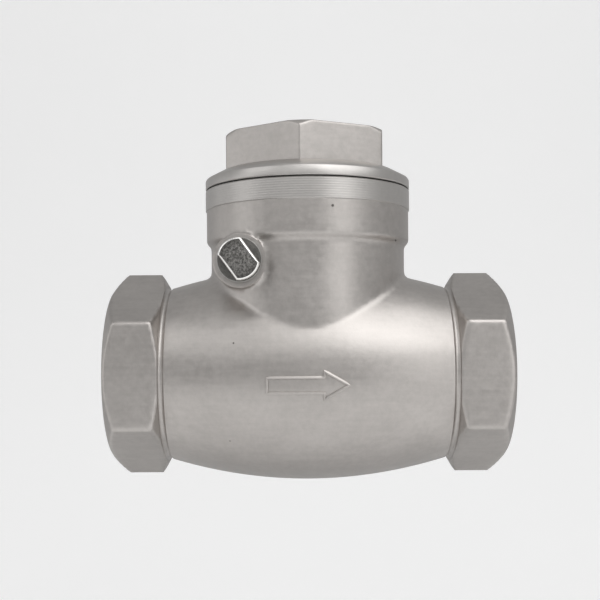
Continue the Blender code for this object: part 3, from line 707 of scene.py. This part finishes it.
def strap_outline():
    """The arm's strap from the hub over the seat to the eye, as corners of a closed outline."""
    low, high = -8.0 * MM, -4.4 * MM
    return [(PIN_AXIS.x, PIN_AXIS.z - 4.2 * MM), (-14.2 * MM, 27.9 * MM), (-11.6 * MM, 27.0 * MM),
            (-9.2 * MM, 25.0 * MM), (-8.2 * MM, 22.6 * MM), (low, 19 * MM), (low, 0), (high, 0),
            (high, 24.6 * MM), (-5.2 * MM, 27.6 * MM), (-7.6 * MM, 31.2 * MM), (-10.2 * MM, 34.0 * MM),
            (-13.4 * MM, 36.0 * MM), (PIN_AXIS.x, PIN_AXIS.z + 4.2 * MM)]


def make_arm():
    """Cast hanger: hub, strap and eye melted together, with bored holes."""
    half = 4.6 * MM
    points = [Vector((x, -half, z)) for x, z in strap_outline()]
    strap = wire("strap", points + points[:1])
    bpy.ops.mesh.remove_doubles(threshold=0.01 * MM)
    bpy.ops.mesh.edge_face_add()
    bpy.ops.mesh.extrude_region_move(TRANSFORM_OT_translate={"value": (0, 2 * half, 0)})
    bpy.ops.mesh.select_all(action="SELECT")
    bpy.ops.mesh.normals_make_consistent(inside=False)
    settle(strap)
    reach, hub, eye = 7.0 * MM, 5.0 * MM, 8.5 * MM
    hub_part = lathe("hub", [(0, reach), (hub, reach), (hub, -reach), (0, -reach)], "Y", PIN_AXIS, 64)
    eye_part = lathe("eye", [(0, -4.0 * MM), (eye, -4.0 * MM), (eye, -8.4 * MM), (0, -8.4 * MM)], "X",
                     steps=64)
    arm = cast(joined("cast_hanger", [strap, hub_part, eye_part]), 0.4 * MM, 3)
    pin_bore, stud_bore = PIN_RADIUS + 0.3 * MM, STUD_HOLE
    cut(arm, lathe("pin_cutter", [(0, 9 * MM), (pin_bore, 9 * MM), (pin_bore, -9 * MM), (0, -9 * MM)],
                   "Y", PIN_AXIS, 64),
        lathe("stud_cutter", [(0, 2 * MM), (stud_bore, 2 * MM), (stud_bore, -12 * MM), (0, -12 * MM)],
              "X", steps=64))
    return shaded(arm)


def make_disc():
    """The disc holder: a rim round its facing, a coned back, a boss and the threaded stud."""
    edge, end, floor = 0.25 * MM, 5.3 * MM, -12.2 * MM
    stud, groove, pitch = 4.0 * MM, 3.45 * MM, 1.25 * MM
    outline = [(0, end), (stud - 0.6 * MM, end), (stud, end - 0.6 * MM)]
    x = end - 0.8 * MM
    while x > -2.2 * MM:
        outline += [(stud, x), (groove, x - pitch * 0.42), (groove, x - pitch * 0.54),
                    (stud, x - pitch * 0.96)]
        x -= pitch
    outline += [(stud, -8.7 * MM), (7.5 * MM - edge, -8.7 * MM), (7.5 * MM, -8.7 * MM - edge),
                (7.5 * MM, -9.5 * MM), (15.5 * MM - edge, -9.5 * MM), (15.5 * MM + edge, -9.6 * MM),
                (21.0 * MM - edge, -12.0 * MM + edge), (21.0 * MM, -12.0 * MM - edge),
                (21.0 * MM, -13.9 * MM + edge), (21.0 * MM - edge, -13.9 * MM), (20.1 * MM, -13.9 * MM),
                (20.1 * MM, floor), (2.3 * MM, floor), (2.3 * MM, -3.5 * MM), (0, -3.5 * MM)]
    disc = lathe("turned_disc", outline, steps=STEPS * 2 // 3)
    cut(disc, lathe("split_pin_hole", [(0, 6 * MM), (MM, 6 * MM), (MM, -6 * MM), (0, -6 * MM)], "Y",
                    (SPLIT_PIN_X, 0, 0), 32))
    return shaded(disc, 35)


def make_retainer():
    edge, front, back, hub = 0.4 * MM, -16.4 * MM, -12.5 * MM, 11.7 * MM
    outline = [(2.3 * MM, back), (hub, back), (hub, -15.0 * MM), (16.0 * MM - 0.1 * MM, -15.0 * MM),
               (16.0 * MM, -15.1 * MM), (16.0 * MM, front + edge), (16.0 * MM - edge, front),
               (9.0 * MM, front), (8.7 * MM, front + 0.3 * MM), (8.4 * MM, front), (2.6 * MM, front),
               (2.3 * MM, front + 0.3 * MM)]
    return shaded(lathe("retainer_plate", outline, steps=STEPS * 2 // 3), 35)


def hexagon_piece(name, flats, low, high, front_chamfer, back_chamfer):
    """A hexagon along X with turned chamfers on one or both ends."""
    corner = flats / 2 / math.cos(math.pi / 6)
    clear = corner + 0.3 * MM
    slope = math.tan(math.radians(30))
    outline = [(0, high), (corner - front_chamfer, high),
               (clear, high - (front_chamfer + 0.3 * MM) * slope),
               (clear, low + (back_chamfer + 0.3 * MM) * slope), (corner - back_chamfer, low), (0, low)]
    piece = keep_common(lathe(name, outline, steps=96), prism("flats", corner, low - MM, high + MM))
    return modify(piece, "BEVEL", width=0.12 * MM, segments=2, limit_method="ANGLE",
                  angle_limit=math.radians(35), use_clamp_overlap=True)


def make_screw():
    head = hexagon_piece("hex_screw", 8.0 * MM, -19.5 * MM, -16.7 * MM, 0.1 * MM, 0.8 * MM)
    shank = [(0, -4.5 * MM), (1.6 * MM, -4.5 * MM), (2.0 * MM, -4.9 * MM), (2.0 * MM, -17.5 * MM),
             (0, -17.5 * MM)]
    return shaded(unite(head, lathe("shank", shank, steps=48)), 30)


def make_nut():
    nut = hexagon_piece("hex_nut", 11.0 * MM, -2.4 * MM, 1.9 * MM, 0.9 * MM, 0.9 * MM)
    bore = STUD_HOLE
    outline = [(0, 3 * MM), (bore + 1.6 * MM, 3 * MM), (bore + 0.5 * MM, 1.9 * MM),
               (bore, 1.4 * MM), (bore, -1.9 * MM), (bore + 0.5 * MM, -2.4 * MM),
               (bore + 1.6 * MM, -3.5 * MM), (0, -3.5 * MM)]
    return shaded(cut(nut, lathe("nut_bore", outline, steps=64)), 30)


def make_split_pin():
    """An eye at the front, a straight shank through the stud and a tail bent round it."""
    reach, eye, x = 6.8 * MM, 1.2 * MM, SPLIT_PIN_X
    points = [Vector((x, reach - 0.3 * MM, 1.6 * MM)), Vector((x, reach, 0.8 * MM)),
              Vector((x, reach - 0.5 * MM, 0.1 * MM)), Vector((x, reach - 1.2 * MM, 0)),
              Vector((x, 0, 0)), Vector((x, -reach + 2.6 * eye, 0))]
    for i in range(15):
        angle = math.radians(90 + 19.5 * i)
        points.append(Vector((x, -reach + eye + eye * math.sin(angle), eye * math.cos(angle))))
    obj = wire("bent_split_pin", points)
    only(obj)
    bpy.ops.object.convert(target="CURVE")
    obj = bpy.context.active_object
    obj.data.bevel_depth = 0.65 * MM
    obj.data.bevel_resolution = 3
    obj.data.use_fill_caps = True
    bpy.ops.object.convert(target="MESH")
    obj = settle(bpy.context.active_object)
    edit(obj)
    bpy.ops.mesh.remove_doubles(threshold=0.002 * MM)
    bpy.ops.mesh.normals_make_consistent(inside=False)
    return shaded(settle(obj), 50)


# ---------------------------------------------------------------- assembly
def fit(piece, node, material):
    """Puts a finished piece on its node's body in place of the node."""
    piece.data.materials.clear()
    piece.data.materials.append(material)
    body = next(name for name, nodes in frame["record"]["behaviour"]["bodies"].items() if node in nodes)
    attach(piece, body)
    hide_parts(node)


def build_valve():
    cast_body = cast_steel("cast body steel", body_machining)
    cast_arm = cast_steel("cast arm steel")
    cap_metal = cast_steel("cap steel", cap_machining)
    along_x = turned_steel("steel turned about the pipe axis", "X")
    about_pin = turned_steel("ground pin steel", "Y", PIN_AXIS)
    white = ptfe("white PTFE")
    fit(make_body(), "valve_body", cast_body)
    fit(make_cap(), "bonnet_cap", cap_metal)
    fit(ring("fibre_gasket", 25.4 * MM, gasket_high.x, NECK_TOP, NECK_TOP + GASKET_THICKNESS, "Z",
             edge=0.05 * MM, steps=STEPS),
        "bonnet_gasket", fibre("gasket fibre"))
    fit(make_pin(), "hinge_pin", about_pin)
    for side, place in ((-1, "front"), (1, "rear")):
        fit(make_plug(side), f"side_plug_{place}", plug_steel(f"{place} plug steel", side))
        low, high = sorted((side * 28.2 * MM, side * 28.8 * MM))
        fit(ring(f"plug_washer_{place}", 5.0 * MM, 6.0 * MM, low, high, "Y", PIN_AXIS),
            f"plug_gasket_{place}", white)
    fit(make_arm(), "hinge_arm", cast_arm)
    fit(make_disc(), "clapper_disc", along_x)
    fit(ring("soft_facing", 12.0 * MM, 19.8 * MM, -14.7 * MM, -12.5 * MM), "facing_ring", white)
    fit(make_retainer(), "facing_retainer", along_x)
    fit(make_screw(), "retainer_screw", along_x)
    fit(ring("flat_washer", STUD_HOLE, 7.2 * MM, -3.7 * MM, -2.7 * MM), "stud_washer", along_x)
    fit(make_nut(), "stud_nut", along_x)
    fit(make_split_pin(), "split_pin", along_x)


# ---------------------------------------------------------------- floor, light and camera
def floor_material():
    """Pale grey with a painted soft shadow under and behind the valve, darker and glowing less there, and a
    glow that rises towards the backdrop.
    """
    graph = Graph("pale floor")
    cloud = graph.noise(0.01, 3, 0.5)
    behind = graph.y - 120
    away = (graph.x * graph.x * 0.6 + behind * behind) ** 0.5
    # Painted shadow: a soft patch under and behind the valve, near the floor, where shade falls to 0.4.
    shade = 1 - (1 - away.step(20, 260)) * (1 - (graph.z - FLOOR_DEPTH / MM).step(5, 60)) * 0.6
    pale = graph.mix(cloud, (0.79, 0.79, 0.79), (0.81, 0.81, 0.81))
    colour = graph.mix(shade, (0.30, 0.30, 0.30), pale)
    glow = graph.mix(graph.y.step(200, 700), (FLOOR_GLOW,) * 3, (BACKDROP_GLOW,) * 3)
    glow = graph.mix(shade, (0.02, 0.02, 0.02), glow)
    return graph.finish(Base_Color=colour, Roughness=0.9, Emission_Color=glow, Emission_Strength=0.8)


def sheet(name, profile, material):
    """A wide sheet drawn across the scene along a profile of (y, z) points."""
    half_width = 3.0
    obj = wire(name, [Vector((-half_width, y, z)) for y, z in profile])
    bpy.ops.mesh.extrude_region_move(TRANSFORM_OT_translate={"value": (2 * half_width, 0, 0)})
    bpy.ops.mesh.select_all(action="SELECT")
    bpy.ops.mesh.normals_make_consistent(inside=False)
    shaded(settle(obj), 60)
    obj.data.materials.append(material)
    return obj


def make_floor():
    """A floor well below the valve, which hangs on its pipe, and a backdrop that curves up behind."""
    depth, front, start, bend, top = FLOOR_DEPTH, -1.8, 0.25, 0.8, 2.0
    pale = floor_material()
    sheet("pale_floor", [(front, depth), (start, depth)], pale)
    curve = [(start + bend * math.sin(a), depth + bend - bend * math.cos(a))
             for a in (math.pi / 2 * i / 24 for i in range(25))]
    backdrop = sheet("pale_backdrop", curve + [(start + bend, top)], pale)
    # The steel reflects the darker room, not the backdrop
    backdrop.visible_glossy = False


def softbox(name, azimuth, elevation, size, brightness, distance=0.9):
    """An area light that faces the valve. Azimuth 0 is the viewer's side and 90 is +X."""
    a, e = math.radians(azimuth), math.radians(elevation)
    away = Vector((math.sin(a) * math.cos(e), -math.cos(a) * math.cos(e), math.sin(e)))
    bpy.ops.object.light_add(type="AREA", location=away * distance + Vector((0, 0, 0.02)),
                             rotation=away.to_track_quat("Z", "Y").to_euler())
    light = bpy.context.active_object
    light.name = name
    light.data.shape = "RECTANGLE"
    light.data.size, light.data.size_y = size
    light.data.energy = brightness * math.pi * size[0] * size[1]


def light_scene():
    world = bpy.data.worlds.new("studio")
    bpy.context.scene.world = world
    world.use_nodes = True
    background = world.node_tree.nodes["Background"]
    background.inputs["Color"].default_value = (1, 1, 1, 1)
    background.inputs["Strength"].default_value = ROOM_LIGHT
    for name, azimuth, elevation, size, brightness in SOFTBOXES:
        softbox(name, azimuth, elevation, size, brightness)


def make_camera():
    bpy.ops.object.camera_add(location=CAMERA_PLACE,
                              rotation=(math.pi / 2, CAMERA_TILT, 0))
    camera = bpy.context.active_object
    camera.name = "camera"
    camera.data.lens = CAMERA_LENS
    camera.data.sensor_width = 36
    camera.data.shift_y = CAMERA_SHIFT
    camera.data.clip_start = 0.01
    bpy.context.scene.camera = camera


make_camera()
build_valve()
make_floor()
light_scene()
bpy.context.scene.view_settings.view_transform = "Standard"
bpy.ops.object.select_all(action="DESELECT")
